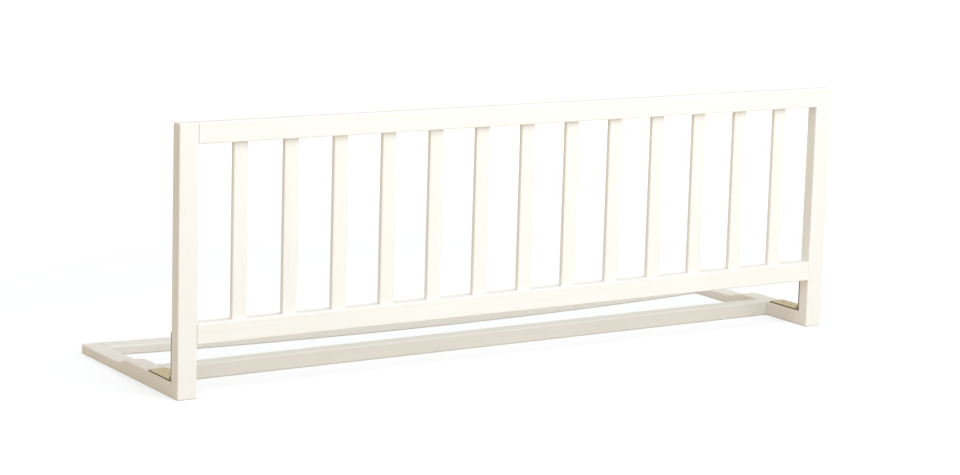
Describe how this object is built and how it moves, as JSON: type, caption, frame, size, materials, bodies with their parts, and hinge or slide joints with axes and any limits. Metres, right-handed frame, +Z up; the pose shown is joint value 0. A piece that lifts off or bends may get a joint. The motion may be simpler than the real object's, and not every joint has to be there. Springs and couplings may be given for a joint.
{
  "type": "bed guard rail",
  "caption": "Slatted wooden bed guard panel hinged to a flat base frame that slides under the mattress and folds flat for storage.",
  "frame": {"origin": "middle of the bounding box seen from above, on the surface that the guard stands on, with the panel upright", "axes": "+X along the bed, +Y from the upright panel in under the mattress, +Z up"},
  "size_m": [1.2, 0.34, 0.405],
  "materials": {
    "lacquered_frame": "satin ivory-white lacquer over hardwood, thin lacquer on the eased edges",
    "lacquered_slats": "satin ivory-white lacquer over hardwood, faint upright grain",
    "lacquered_base": "satin ivory-white lacquer over hardwood, lightly rubbed edges",
    "dowel_beech": "bare beech",
    "hinge_plate": "yellow-passivated zinc plate, fine brushed grain",
    "hinge_pin": "drawn steel",
    "hinge_screws": "yellow-passivated zinc plate"
  },
  "bodies": {
    "base": {"front_crossbar": "lacquered_base", "rear_crossbar": "lacquered_base", "left_arm": "lacquered_base", "right_arm": "lacquered_base", "front_crossbar_dowels": "dowel_beech", "rear_crossbar_dowels": "dowel_beech", "left_arm_leaf": "hinge_plate", "right_arm_leaf": "hinge_plate", "left_hinge_pin": "hinge_pin", "right_hinge_pin": "hinge_pin", "left_arm_screws": "hinge_screws", "right_arm_screws": "hinge_screws"},
    "guard": {"top_rail": "lacquered_frame", "left_post": "lacquered_frame", "right_post": "lacquered_frame", "bottom_rail": "lacquered_frame", "slat_01": "lacquered_slats", "slat_02": "lacquered_slats", "slat_03": "lacquered_slats", "slat_04": "lacquered_slats", "slat_05": "lacquered_slats", "slat_06": "lacquered_slats", "slat_07": "lacquered_slats", "slat_08": "lacquered_slats", "slat_09": "lacquered_slats", "slat_10": "lacquered_slats", "slat_11": "lacquered_slats", "slat_12": "lacquered_slats", "slat_13": "lacquered_slats", "top_rail_dowels": "dowel_beech", "bottom_rail_dowels": "dowel_beech", "left_post_leaf": "hinge_plate", "right_post_leaf": "hinge_plate", "left_post_screws": "hinge_screws", "right_post_screws": "hinge_screws"}
  },
  "joints": [
    {"name": "panel_fold", "type": "hinge", "parent": "base", "child": "guard", "pos_m": [0, -0.1442, 0.0278], "axis": [-1, 0, 0], "range_deg": [0, 90]}
  ]
}
